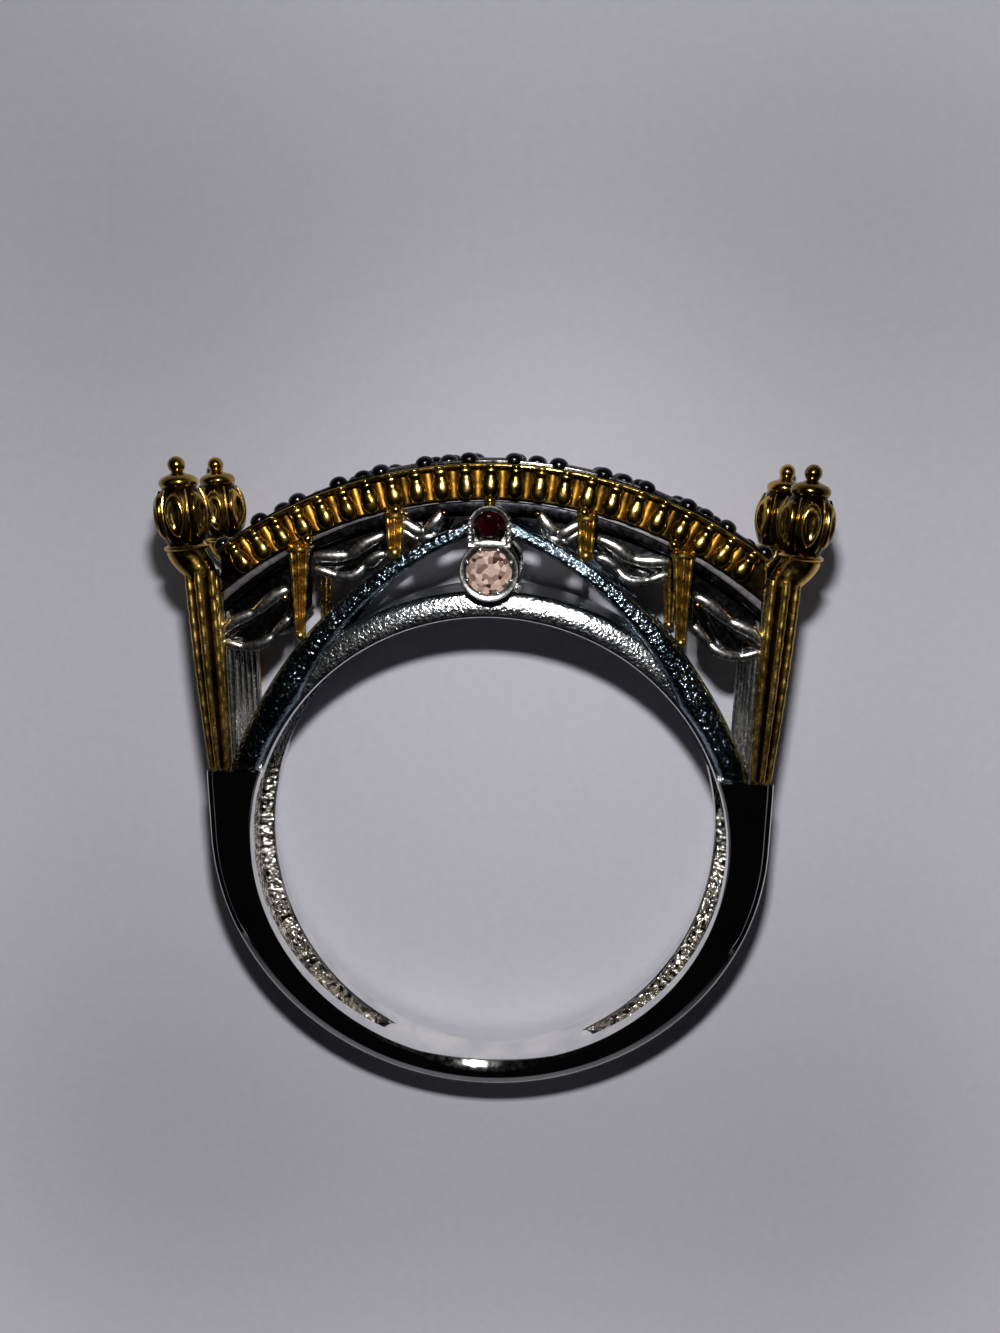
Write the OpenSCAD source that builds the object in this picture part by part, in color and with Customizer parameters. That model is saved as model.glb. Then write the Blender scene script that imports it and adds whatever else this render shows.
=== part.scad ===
// Bridge ring with a row of garnets, lying on its side: X runs across the hand's width,
// Y from the hole's centre towards the bridge, Z along the finger. The origin is the centre of the finger hole.

/* [Shank] */
// Radius of the finger hole
hole_r = 8.65; // [8.4:0.05:8.75]
// Radius of the shank's outer edge
shank_r = 10.1; // [10:0.05:10.3]
// Height of the outer edge's centre above the hole's centre
shank_rise = 0.5; // [0.4:0.05:0.6]
// Width of the shank at its foot, along the finger
foot_w = 1.9; // [1.6:0.1:2.4]
// Width of the ring across its shoulders and arches, along the finger
frame_w = 5.2; // [5.1:0.05:5.3]
// Height of the shoulder ledges above the hole's centre
ledge_y = 3.0; // [2.8:0.1:3.2]
// Radial width of the bevel round the shank's outer edge
bevel = 0.25; // [0.1:0.05:0.3]
// Depth of the channel inside the band
channel_d = 0.5; // [0.3:0.05:0.6]
// Depth of the bare pad at the foot, below the rails on both sides of the channel
pad_d = 0.02; // [0.01:0.01:0.05]

/* [Arches] */
// Radial thickness of the inner arch over the finger
inner_arch_t = 0.95; // [0.85:0.05:1]
// Width of the inner arch along the finger
inner_arch_w = 4.2; // [4:0.1:4.4]
// Radius of each half of the pointed arch, at its upper edge
arch_r = 14.83; // [14.7:0.01:14.9]
// Depth of each pointed arch along the finger
arch_depth = 1.0; // [0.8:0.1:1.2]

/* [Bridge] */
// Radius of the handrail's top
rail_r = 16.0; // [15.95:0.05:16.05]
// Height of the balustrade from its foot to the handrail's top
balustrade_h = 1.2; // [1.15:0.05:1.25]
// Angle between neighbouring balusters
baluster_step = 3.15; // [3.1:0.01:3.2]
// Greatest radius of a baluster
baluster_r = 0.25; // [0.2:0.01:0.27]
// Distance of the tall columns from the middle of the bridge
tall_column_x = 6.65; // [6.5:0.05:6.8]
// Distance of the short columns from the middle of the bridge
short_column_x = 3.3; // [3.2:0.05:3.4]

/* [Lantern posts] */
// Distance of each lantern post from the ring's mid-plane
post_z = 2.38; // [2.36:0.01:2.4]
// Greatest radius of a lantern
lantern_r = 1.0; // [0.9:0.02:1]
// Radius of the ball on a lantern
finial_r = 0.3; // [0.24:0.02:0.32]

/* [Garnets] */
// Number of garnets along the bridge
garnets = 7; // [5:2:7]
// Length of a garnet, across the bridge
garnet_l = 3.5; // [3.3:0.1:3.5]
// Width of a garnet, along the bridge
garnet_w = 2.6; // [2.4:0.1:2.6]
// Angle between neighbouring garnets
garnet_step = 11.05; // [10.9:0.05:11.1]
// Radius of a bead prong
bead_r = 0.33; // [0.28:0.01:0.34]

/* [Niche] */
// Outer radius of the round bezel in the niche
bezel_r = 1.03; // [0.95:0.02:1.05]
// Height of the round bezel's centre above the hole's centre
bezel_y = 10.35; // [10.3:0.05:10.4]
// Half the width of the round-topped frame above it
niche_r = 0.75; // [0.7:0.01:0.78]

/* [Hidden] */
$fn = 48;
gap = 0.03;
frame_z = frame_w / 2;
deck_cy = -2;
foot_r = rail_r - balustrade_h;
floor_t = 0.6;
bridge_end_x = 9.42;
bridge_angle = 39;
wall_z = 2.22;
rail_z = 2.8;
baluster_z = 2.52;
bar_t = 0.2;
column_z = 2.3;
spandrel_z = 1.5;
spandrel_t = 0.35;
scallop_drops = [0.95, 1.75, 2.35];
half_floor_w = 2.15;
arch_cx = 4.77;
arch_cy = -1.73;
arch_inner_cx = 3.4;
arch_inner_cy = 1.25;
arch_inner_r = 11.05;
arch_z0 = frame_z - arch_depth;
channel_start_y = -8;
channel_half_w = frame_z - 0.7;
pad_top_y = -7.8;
blank_flare = 0.8;
slope_top_y = 2.7;
end_wall_z = 1.72;
end_wall_in_x = 9.3;
end_wall_out_x = 9.75;
end_wall_top_x = 10.2;
bezel_rim = 0.24;
frame_rim = 0.2;
cup_floor = 0.35;
post_foot = [9.66, ledge_y + gap];
post_foot_r = 0.34;
post_head = [10.12, 10.55];
post_head_r = 0.6;
lantern_foot = [10.56, 10.45];
lantern_tilt = 5.4;
niche_y = bezel_y + 1.5;
niche_front_z = frame_z + 0.3;
niche_back_z = 1.7;
strip_r0 = foot_r + gap;
strip_t = 0.5;
girdle_r = 15.62;
table_r = 16.2;
culet_r = strip_r0 + gap;
bead_seat_r = rail_r + 0.05;
prong_r = bead_r - 0.05;
prong_x = 0.78;
prong_z = 1.85;
between_z = 1.15;
seat_margin = 0.2;
bead_sink = 0.2;
girdle_t = 0.12;
facet_t = 0.02;

// Height of the pointed arch's upper edge at a distance x from the middle
function arch_top(x) = arch_cy + sqrt(arch_r * arch_r - pow(arch_cx + x, 2));
// Height of the balustrade's foot at a distance x from the middle
function deck_foot(x) = deck_cy + sqrt(foot_r * foot_r - x * x);

faces = ["front", "back"];
sides = ["left", "right"];
garnet_names = [for (i = [1:garnets]) str("garnet_", i)];
post_names = [for (f = faces) for (s = sides) str("lantern_post_", f, "_", s)];

// Places children on the bridge's arc: local Y points away from the arc's centre
module on_arc(angle, r) {
    translate([0, deck_cy, 0]) rotate([0, 0, -angle]) translate([0, r, 0]) children();
}

// A bar bent along the bridge, between two radii and two depths
module arc_bar(r0, r1, z0, z1, angle) {
    translate([0, deck_cy, 0]) rotate([0, 0, 90 - angle])
        rotate_extrude(angle = 2 * angle, $fn = 96)
            translate([r0, z0]) square([r1 - r0, z1 - z0]);
}

// Copies children to the front and the back of the ring
module both_faces() {
    children();
    mirror([0, 0, 1]) children();
}

// Copies children to the left and the right of the ring
module both_sides() {
    children();
    mirror([1, 0, 0]) children();
}

// The space over which the shank tapers from its shoulders to its foot
module taper_wedge() {
    bottom = shank_rise - shank_r;
    foot_z = foot_w / 2;
    rotate([90, 0, 90]) linear_extrude(2 * shank_r + 2, center = true)
        polygon([[bottom - 1, foot_z], [bottom - 1, -foot_z], [bottom, -foot_z], [slope_top_y, -frame_z],
            [ledge_y, -frame_z], [ledge_y, frame_z], [slope_top_y, frame_z], [bottom, foot_z]]);
}

// The blank that bevels the outer edge beside the sloping face
module bevelled_blank() {
    face_r = shank_r - bevel;
    run = slope_top_y + shank_r - shank_rise;
    slope = atan((frame_z - foot_w / 2) / run);
    face_z = foot_w / 2 + (frame_z - foot_w / 2) * shank_r / run;
    depth = frame_w + 1;
    translate([0, shank_rise, face_z]) rotate([slope, 0, 0]) mirror([0, 0, 1]) {
        far_r = face_r + depth * blank_flare;
        cylinder(h = depth, r1 = face_r, r2 = far_r, $fn = 128);
        rotate([-90, 0, 0]) linear_extrude(4)
            polygon([[-face_r, 0], [face_r, 0], [far_r, depth], [-far_r, depth]]);
    }
}

// The band from its foot up to the shoulder ledges
module band() {
    intersection() {
        union() {
            translate([0, shank_rise, -frame_z]) cylinder(h = frame_w, r = shank_r, $fn = 128);
            translate([-shank_r, shank_rise, -frame_z]) cube([2 * shank_r, ledge_y - shank_rise, frame_w]);
        }
        taper_wedge();
        bevelled_blank();
        mirror([0, 0, 1]) bevelled_blank();
    }
}

// The round arch that closes the finger hole over the top
module inner_arch() {
    r = hole_r + inner_arch_t;
    intersection() {
        translate([0, 0, -inner_arch_w / 2]) cylinder(h = inner_arch_w, r = r, $fn = 128);
        translate([-r - 1, ledge_y - 0.5, -inner_arch_w]) cube([2 * r + 2, r, 2 * inner_arch_w]);
    }
}

// The region under two arcs that meet in a point
module pointed(cx, cy, r, z0, z1) {
    intersection() {
        translate([cx, cy, z0]) cylinder(h = z1 - z0, r = r, $fn = 128);
        translate([-cx, cy, z0]) cylinder(h = z1 - z0, r = r, $fn = 128);
    }
}

// The pointed arch on the ring's front face
module pointed_arch() {
    intersection() {
        difference() {
            pointed(arch_cx, arch_cy, arch_r, arch_z0, frame_z);
            pointed(arch_inner_cx, arch_inner_cy, arch_inner_r, arch_z0 - 1, frame_z + 1);
        }
        translate([-12, ledge_y - 0.4, 0]) cube([24, 12, frame_z]);
    }
}

// The wall that closes one end of the bridge, between its two lantern posts
module end_wall() {
    floor_y = deck_foot(bridge_end_x);
    top_y = floor_y + 0.3;
    in_x = bridge_end_x - 0.2;
    out_x = bridge_end_x + gap;
    linear_extrude(2 * end_wall_z, center = true)
        polygon([[end_wall_in_x, ledge_y - 0.2], [end_wall_out_x, ledge_y - 0.2], [end_wall_top_x, top_y],
            [out_x, top_y], [out_x, floor_y], [in_x, floor_y], [in_x, floor_y - 0.5],
            [end_wall_out_x - 0.05, floor_y - 0.9]]);
}

// The scalloped plates under the bridge's floor, one for each bay between the columns
module spandrels() {
    mids = [(niche_r + short_column_x) / 2, (short_column_x + tall_column_x) / 2,
        (tall_column_x + bridge_end_x) / 2];
    halves = [(short_column_x - niche_r) / 2, (tall_column_x - short_column_x) / 2,
        (bridge_end_x - tall_column_x) / 2];
    for (i = [0:2]) {
        half = halves[i];
        drop = scallop_drops[i];
        scallop_r = (half * half + drop * drop) / (2 * drop) + 0.25;
        intersection() {
            translate([mids[i], deck_foot(mids[i]) - drop + scallop_r, spandrel_z])
                cylinder(h = spandrel_t, r = scallop_r);
            translate([mids[i] - half, 5, 0]) cube([2 * half, 10, 3]);
            arc_bar(10, foot_r, 0, 3, bridge_angle);
        }
    }
}

// The round bezel and the round-topped frame above it
module niche_frame() {
    depth = niche_front_z - niche_back_z;
    shelf_y = bezel_y + 0.85;
    translate([0, bezel_y, niche_back_z]) cylinder(h = depth, r = bezel_r);
    translate([0, niche_y, niche_back_z]) cylinder(h = depth, r = niche_r);
    translate([-niche_r, shelf_y, niche_back_z]) cube([2 * niche_r, niche_y - shelf_y, depth]);
}

// The cups that hold the two stones of the niche
module niche_cups() {
    cup_z = niche_back_z + cup_floor;
    translate([0, bezel_y, cup_z]) cylinder(h = 2, r = bezel_r - bezel_rim);
    translate([0, niche_y, cup_z]) cylinder(h = 2, r = niche_r - frame_rim);
}

// The bare pad at the foot, just below the rails on both sides of the channel
module foot_pad() {
    intersection() {
        translate([0, 0, -5]) cylinder(h = 10, r = hole_r + pad_d, $fn = 128);
        translate([-hole_r, -hole_r - 1, -5]) cube([2 * hole_r, pad_top_y + hole_r + 1, 10]);
    }
}

// The channel inside the band, which ends in a point above the pad
module channel() {
    intersection() {
        translate([0, 0, -5]) cylinder(h = 10, r = hole_r + channel_d, $fn = 128);
        rotate([90, 0, 90]) linear_extrude(30, center = true)
            polygon([[channel_start_y, 0], [2, -channel_half_w], [15, -channel_half_w],
                [15, channel_half_w], [2, channel_half_w]]);
    }
}

module shank() {
    color("silver") difference() {
        union() {
            band();
            inner_arch();
            both_faces() {
                pointed_arch();
                both_sides() spandrels();
                niche_frame();
            }
            both_sides() end_wall();
            intersection() {
                arc_bar(foot_r - floor_t, foot_r, -half_floor_w, half_floor_w, bridge_angle);
                translate([-bridge_end_x, 0, -3]) cube([2 * bridge_end_x, 20, 6]);
            }
        }
        both_faces() niche_cups();
        translate([0, 0, -5]) cylinder(h = 10, r = hole_r, $fn = 128);
        foot_pad();
        channel();
    }
}

// One bead prong, standing on the strip
module prong(x, z) {
    translate([x, 0, z]) {
        rotate([90, 0, 0]) cylinder(h = bead_seat_r - strip_r0 - bead_sink, r = prong_r, $fn = 24);
        sphere(r = bead_r, $fn = 24);
    }
}

// The opening under one garnet
module seat() {
    end_r = garnet_w / 2 - seat_margin;
    end_z = (garnet_l - garnet_w) / 2;
    translate([0, -1, 0]) rotate([-90, 0, 0]) {
        translate([0, end_z, 0]) cylinder(h = 3, r = end_r);
        translate([0, -end_z, 0]) cylinder(h = 3, r = end_r);
        translate([-end_r, -end_z, 0]) cube([2 * end_r, 2 * end_z, 3]);
    }
}

module claw_strip() {
    half = (garnets - 1) / 2;
    color("dimgray") {
        difference() {
            intersection() {
                arc_bar(strip_r0, strip_r0 + strip_t, -half_floor_w, half_floor_w, bridge_angle);
                translate([-bridge_end_x, 0, -3]) cube([2 * bridge_end_x, 20, 6]);
            }
            for (i = [-half:half]) on_arc(i * garnet_step, strip_r0) seat();
        }
        for (i = [-half:half]) on_arc(i * garnet_step, bead_seat_r)
            for (x = [-prong_x, prong_x]) for (z = [-prong_z, prong_z]) prong(x, z);
        for (i = [-half:half - 1]) on_arc((i + 0.5) * garnet_step, bead_seat_r)
            for (z = [-between_z, between_z]) prong(0, z);
    }
}

// One turned baluster, its foot at local height 0
module baluster(h, r) {
    rotate([-90, 0, 0]) rotate_extrude($fn = 24)
        polygon([[0, 0], [0.8 * r, 0], [0.55 * r, 0.18 * h], [r, 0.42 * h], [0.85 * r, 0.58 * h],
            [0.45 * r, 0.8 * h], [0.7 * r, 0.9 * h], [0.7 * r, h], [0, h]]);
}

// One column under the balustrade, tapering down on to the pointed arch
module column(x, top_r, bottom_r) {
    top = deck_foot(x) + bar_t / 2;
    bottom = arch_top(x - bottom_r) + gap;
    translate([x, bottom, column_z]) rotate([-90, 0, 0]) {
        cylinder(h = top - bottom, r1 = bottom_r, r2 = top_r * 0.85, $fn = 24);
        translate([0, 0, top - bottom - 0.75]) cylinder(h = 0.2, r = top_r, $fn = 24);
    }
}

module gallery(face) {
    color("goldenrod") mirror([0, 0, face]) {
        intersection() {
            union() {
                arc_bar(foot_r + gap, rail_r - 0.05, wall_z, wall_z + 0.12, bridge_angle);
                arc_bar(foot_r, foot_r + bar_t, wall_z, rail_z, bridge_angle);
                arc_bar(rail_r - 0.25, rail_r, wall_z, rail_z, bridge_angle);
            }
            translate([-bridge_end_x, 0, 0]) cube([2 * bridge_end_x, 20, 3]);
        }
        for (i = [-11:11]) on_arc(i * baluster_step, foot_r + bar_t / 2) translate([0, 0, baluster_z])
            baluster(balustrade_h - bar_t, baluster_r);
        difference() {
            both_sides() {
                column(tall_column_x, 0.42, 0.2);
                column(short_column_x, 0.38, 0.27);
            }
            arc_bar(foot_r - floor_t - gap, rail_r, 0, half_floor_w + gap, bridge_angle);
        }
    }
}

// The lantern's outline from its neck to its finial, turned about its own axis
module lantern() {
    rotate([-90, 0, 0]) {
        rotate_extrude() polygon([[0, 0], [0.5, 0], [0.58, 0.12], [0.58, 0.3], [0.45, 0.4], [0.58, 0.5],
            [0.85 * lantern_r, 1.1], [lantern_r, 1.8], [0.98 * lantern_r, 2.1], [0.85 * lantern_r, 2.5],
            [0.6 * lantern_r, 2.8], [0.62, 2.85], [0.62, 3.0], [0.3, 3.15], [0.15, 3.25], [0, 3.25]]);
        translate([0, 0, 3.37]) sphere(r = finial_r);
    }
}

module lantern_post(face, side) {
    lean = atan2(post_head[0] - post_foot[0], post_head[1] - post_foot[1]);
    length = norm(post_head - post_foot);
    color("goldenrod") mirror([0, 0, face]) mirror([1 - side, 0, 0]) {
        difference() {
            translate([post_foot[0], post_foot[1], post_z]) rotate([0, 0, -lean]) rotate([-90, 0, 0])
                translate([0, 0, -0.2]) cylinder(h = length + 0.2, r1 = post_foot_r, r2 = post_head_r, $fn = 32);
            translate([8, ledge_y - 1, 0]) cube([4, 1 + gap, 4]);
        }
        translate([lantern_foot[0], lantern_foot[1], post_z]) rotate([0, 0, -lantern_tilt]) lantern();
    }
}

// A cut stone with rounded ends: table, girdle and point, its girdle at local height 0
module cut_stone(l, w, up, down) {
    end_z = (l - w) / 2;
    hull() for (z = [-end_z, end_z]) translate([0, 0, z]) rotate([-90, 0, 0]) {
        translate([0, 0, -girdle_t / 2]) cylinder(h = girdle_t, r = w / 2, $fn = 16);
        translate([0, 0, up - facet_t]) cylinder(h = facet_t, r = 0.3 * w, $fn = 16);
        translate([0, 0, -down]) cylinder(h = facet_t, r = 0.1 * w, $fn = 16);
    }
}

module garnet(i) {
    color("darkred") on_arc((i - (garnets - 1) / 2) * garnet_step, girdle_r)
        cut_stone(garnet_l, garnet_w, table_r - girdle_r, girdle_r - culet_r);
}

module niche_stone(face, y, r, tint) {
    color(tint) mirror([0, 0, face]) translate([0, y, niche_front_z - 0.45]) rotate([90, 0, 0])
        cut_stone(2 * r, 2 * r, 0.3, 0.35);
}

shank();
claw_strip();
for (f = [0, 1]) {
    gallery(f);
    niche_stone(f, bezel_y, bezel_r - 0.27, "mistyrose");
    niche_stone(f, niche_y, niche_r - 0.23, "darkred");
    for (s = [0, 1])
        lantern_post(f, s);
}
for (i = [1:garnets]) garnet(i - 1);
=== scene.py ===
from math import acos, asin, copysign, cos, pi, radians, sin, sqrt, tau

import bmesh
import bpy
from mathutils import Matrix, Vector


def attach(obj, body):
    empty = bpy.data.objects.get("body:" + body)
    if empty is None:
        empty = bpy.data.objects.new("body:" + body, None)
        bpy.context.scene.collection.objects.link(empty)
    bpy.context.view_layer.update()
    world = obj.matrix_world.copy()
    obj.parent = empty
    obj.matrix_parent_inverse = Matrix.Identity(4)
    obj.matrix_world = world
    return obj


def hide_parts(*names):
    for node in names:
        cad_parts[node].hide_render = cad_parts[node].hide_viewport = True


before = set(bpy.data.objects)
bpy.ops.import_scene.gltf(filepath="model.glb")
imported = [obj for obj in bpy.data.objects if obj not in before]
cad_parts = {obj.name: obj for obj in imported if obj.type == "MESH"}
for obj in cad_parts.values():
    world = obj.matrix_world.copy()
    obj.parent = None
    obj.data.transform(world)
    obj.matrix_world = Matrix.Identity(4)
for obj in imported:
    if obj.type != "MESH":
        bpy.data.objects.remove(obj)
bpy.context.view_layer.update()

# Metres in a millimetre: the sizes below are in millimetres, and the frame is in metres
MM = 0.001

# Band, with X across the hand, Y towards the bridge and Z along the finger
HOLE_R = 8.65
SHANK_R = 10.09
SHANK_RISE = 0.5
FOOT_HALF = 0.95
FRAME_HALF = 2.6
LEDGE_Y = 3.0
BREAK_Y = 2.7
KINK_Y = -2.6

# Channel inside the band
CHANNEL_DEPTH = 0.5
CHANNEL_HALF = 1.9
CHANNEL_FULL_Y = 2.0
CHANNEL_START_Y = -7.8
CHANNEL_NOSE = 0.3
CHANNEL_RUN_IN = 0.35
CHANNEL_FLOOR_SHARE = 0.94

# Arches and end walls
INNER_ARCH_T = 0.95
INNER_ARCH_HALF = 2.1
ARCH_X = 4.77
ARCH_Y = -1.73
ARCH_R = 14.83
ARCH_LOW_X = 3.4
ARCH_LOW_Y = 1.25
ARCH_LOW_R = 11.05
ARCH_BACK_Z = 1.62
END_WALL_HALF = 1.72
END_WALL_FOOT_X = (9.28, 9.7)
END_WALL_HEAD_X = (9.46, 9.86)

# Bridge and galleries, on arcs about a point below the finger hole's centre
DECK_Y = -2.0
RAIL_R = 16.0
RAIL_T = 0.13
FOOT_R = 14.8
FOOT_T = 0.08
FLOOR_T = 0.6
FLOOR_HALF = 2.15
BRIDGE_END_X = 9.42
SPANDREL_Z = 1.84
CLOTH_Z = 1.9
WALL_Z = 2.22
RAIL_Z = 2.8
BALUSTER_Z = 2.52
BALUSTER_STEP = 3.15
BALUSTERS_A_SIDE = 11
BALUSTER_R = 0.34
BALUSTER_FLATNESS = 0.62
BALUSTER_IN_FOOT = 0.05
BALUSTER_IN_RAIL = 0.03
PILASTERS = (-8, -4, 0, 4, 8)

# Columns: where they stand, and their radii at the head and at the foot
TALL_COLUMN = (6.65, 0.42, 0.2)
SHORT_COLUMN = (3.3, 0.38, 0.27)
COLUMN_Z = 2.3

# Niches
NICHE_Z = 2.9
NICHE_BACK_Z = 1.7
NICHE_SEAT_Z = 2.0
BEZEL_Y = 10.35
BEZEL_R = 1.03
BEZEL_T = 0.24
NICHE_Y = 11.85
NICHE_R = 0.75
NICHE_T = 0.2

# Corner posts and lanterns
POST_FOOT = (9.62, 3.05)
POST_HEAD = (10.12, 10.55)
POST_Z = 2.38
LANTERN_FOOT = (10.56, 10.45)
LANTERN_TILT = 5.4
PANELS = 6
PANEL_MIDDLE = 1.64
PANEL_HALF_H = 0.84
PANEL_HALF_TURN = 23.5

# Garnets and the strip that holds them
STRIP_R = 14.83
STRIP_T = 0.5
WIRE_R = 16.13
WIRE_T = 0.14
GARNETS = 7
GARNET_STEP = 11.05
GARNET_L = 3.5
GARNET_W = 2.6
GIRDLE_R = 15.62
TABLE_R = 16.2
BEAD_R = 0.33
BEAD_SQUASH = 0.76
BEAD_CREST_R = 16.37

# The two faces, and the side of the ring's middle plane on which each lies
FACES = (("front", 1), ("back", -1))

# The ring lies on its back lanterns and on the back edge of its shoulders
REST_LANTERN = Vector((0, 12.24, -3.38))
REST_SHOULDER = Vector((0, BREAK_Y, -FRAME_HALF))

# The swags of the right half, from the outer bay in: x, and the heights of the upper and lower edge there
SWAGS = (
    ((9.5, 8.0, 7.6), (8.95, 8.42, 7.5), (8.2, 8.82, 7.5), (7.55, 9.3, 8.05), (7.1, 9.6, 8.5)),
    ((6.15, 10.7, 10.25), (5.6, 10.72, 10.12), (4.85, 10.85, 10.02), (4.3, 11.2, 10.55), (3.7, 11.55, 10.85)),
    ((3.1, 11.98, 11.65), (2.65, 11.72, 11.42), (2.23, 11.7, 11.4), (1.88, 12.0, 11.7), (1.7, 12.4, 12.1)),
)

# Outline of the band's inner lip: distance from the hole and drop from the face, as shares of the lip's size
LIP = [(0.4, 0), (0.37, 0.016), (0.205, 0.14), (0.04, 0.285), (0.01, 0.33), (0, 0.37)]
LIP_SIZE = 0.32
LIP_MORE_AT_FOOT = 0.68
LIP_FOOT_X = 2.6

# Ridges along the band's outer edge: distance from that edge and drop from the face, each followed by what
# is added where the two ridges have merged into one
RIDGES = [(0, 0, 0.14, 0), (0.05, 0, 0.07, 0.03), (0.2, 0.08, 0.05, -0.044), (0.24, 0.06, 0, 0)]
RIDGE_MERGE_RUN = 0.6

# Round arch's outer edge: distance from its top and drop from its side
INNER_ARCH_EDGE = [(0, 0.4), (0.01, 0.27), (0.04, 0.18), (0.1, 0.115), (0.17, 0.082), (0.26, 0.055),
                   (0.36, 0.031), (0.46, 0.012), (0.58, 0)]

# Pointed arch's face: share of the way from its lower edge to its upper one, and drop as a share of its width
ARCH_FACE = [(0, 0.3), (0.04, 0.16), (0.1, 0.07), (0.18, 0.02), (0.28, 0), (0.42, 0.01), (0.56, 0.028),
             (0.68, 0.05), (0.78, 0.075), (0.87, 0.107), (0.94, 0.15), (0.98, 0.2), (1, 0.28)]

# Baluster's outline: shares of its radius and height
BALUSTER_OUTLINE = [(0, 0), (0.55, 0), (0.78, 0.06), (0.94, 0.16), (1.0, 0.28), (0.98, 0.4), (0.9, 0.52),
                    (0.78, 0.62), (0.68, 0.7), (0.7, 0.76), (0.82, 0.82), (0.88, 0.88), (0.8, 0.95),
                    (0.6, 1.0), (0, 1.0)]

# Column's collar: shares of the column's radius at its head, and height
COLLAR = [(0, -0.1), (0.95, -0.09), (1.08, -0.03), (1.08, 0.03), (0.95, 0.09), (0, 0.1)]

# Lantern's outlines: radius and height of its cap, its lower rim and the dark core behind its panels
LANTERN_TOP = [(0, 2.54), (0.5, 2.56), (0.6, 2.6), (0.66, 2.68), (0.68, 2.78), (0.65, 2.88), (0.56, 2.97),
               (0.42, 3.03), (0.27, 3.08), (0.2, 3.14), (0, 3.18)]
LANTERN_RIM = [(0, 0.4), (0.6, 0.4), (0.68, 0.44), (0.74, 0.48), (0.76, 0.53), (0.74, 0.58), (0.68, 0.62),
               (0.6, 0.66), (0, 0.68)]
LANTERN_CORE = [(0, 0.6), (0.56, 0.6), (0.68, 0.85), (0.75, 1.2), (0.78, 1.7), (0.74, 2.2), (0.64, 2.5),
                (0.5, 2.7), (0, 2.7)]

# Lantern's panel: share of the way from its middle to its edge, and relief there
PANEL_RELIEF = [(0.03, -0.07), (0.2, -0.07), (0.34, -0.055), (0.46, -0.01), (0.58, 0.04), (0.7, 0.06),
                (0.82, 0.045), (0.91, 0.0), (0.97, -0.08), (1.0, -0.24)]


def srgb(code):
    """The linear colour of an sRGB hex value."""
    channels = [int(code[i:i + 2], 16) / 255 for i in (1, 3, 5)]
    return [c / 12.92 if c <= 0.04045 else ((c + 0.055) / 1.055) ** 2.4 for c in channels] + [1.0]


def grains(size_mm):
    """The texture scale at which one grain has this size."""
    return 1 / (size_mm * MM)


# Sockets of a Mix node that mixes colours: three that it reads, and the one that it gives
MIX_SHARE = 0
MIX_FIRST = 6
MIX_SECOND = 7
MIX_COLOUR = 2


def node(tree, kind, values=(), links=(), **settings):
    """Adds a node, with its settings, its sockets' values and what its sockets read."""
    made = tree.nodes.new(kind)
    for name, value in settings.items():
        setattr(made, name, value)
    for socket, value in dict(values).items():
        made.inputs[socket].default_value = value
    for socket, source in dict(links).items():
        tree.links.new(source, made.inputs[socket])
    return made


def add_object(name, data):
    """Puts a new object with this data into the scene."""
    made = bpy.data.objects.new(name, data)
    bpy.context.scene.collection.objects.link(made)
    return made


# Camera, fitted to the photo by least squares
CAMERA_AT = Vector((2.435, 14.03, 43.76))
CAMERA_AIM = Vector((0.283, 6.583, 0))
CAMERA_ROLL = radians(0.724)
LENS = 32.41
SENSOR = 36


def axes_matrix(at, right, up, back):
    """The matrix of an object at a point, with its own axes along these directions."""
    turned = Matrix((right, up, back)).transposed().to_4x4()
    return Matrix.Translation(at) @ turned


def make_camera():
    """A camera at the photo's place and angle."""
    data = bpy.data.cameras.new("camera")
    data.lens = LENS
    data.sensor_width = SENSOR
    data.clip_start = 0.002
    data.clip_end = 10
    camera = add_object("camera", data)
    back = (CAMERA_AT - CAMERA_AIM).normalized()
    lean = Vector((-sin(CAMERA_ROLL), cos(CAMERA_ROLL), 0))
    right = lean.cross(back).normalized()
    camera.matrix_world = axes_matrix(CAMERA_AT * MM, right, back.cross(right), back)
    bpy.context.scene.camera = camera


# Shapes
# Radius at which a turned shape ends on its axis, too small to see
AXIS_R = 0.004
# Points nearer to each other than the first are made one, and edges shorter than the second are dissolved
SAME_POINT = 0.002
NO_EDGE = 0.001


def shares(steps):
    """Even steps from 0 to 1."""
    return [i / steps for i in range(steps + 1)]


def turns(steps):
    """Even angles round a full circle."""
    return [tau * i / steps for i in range(steps)]


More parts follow.
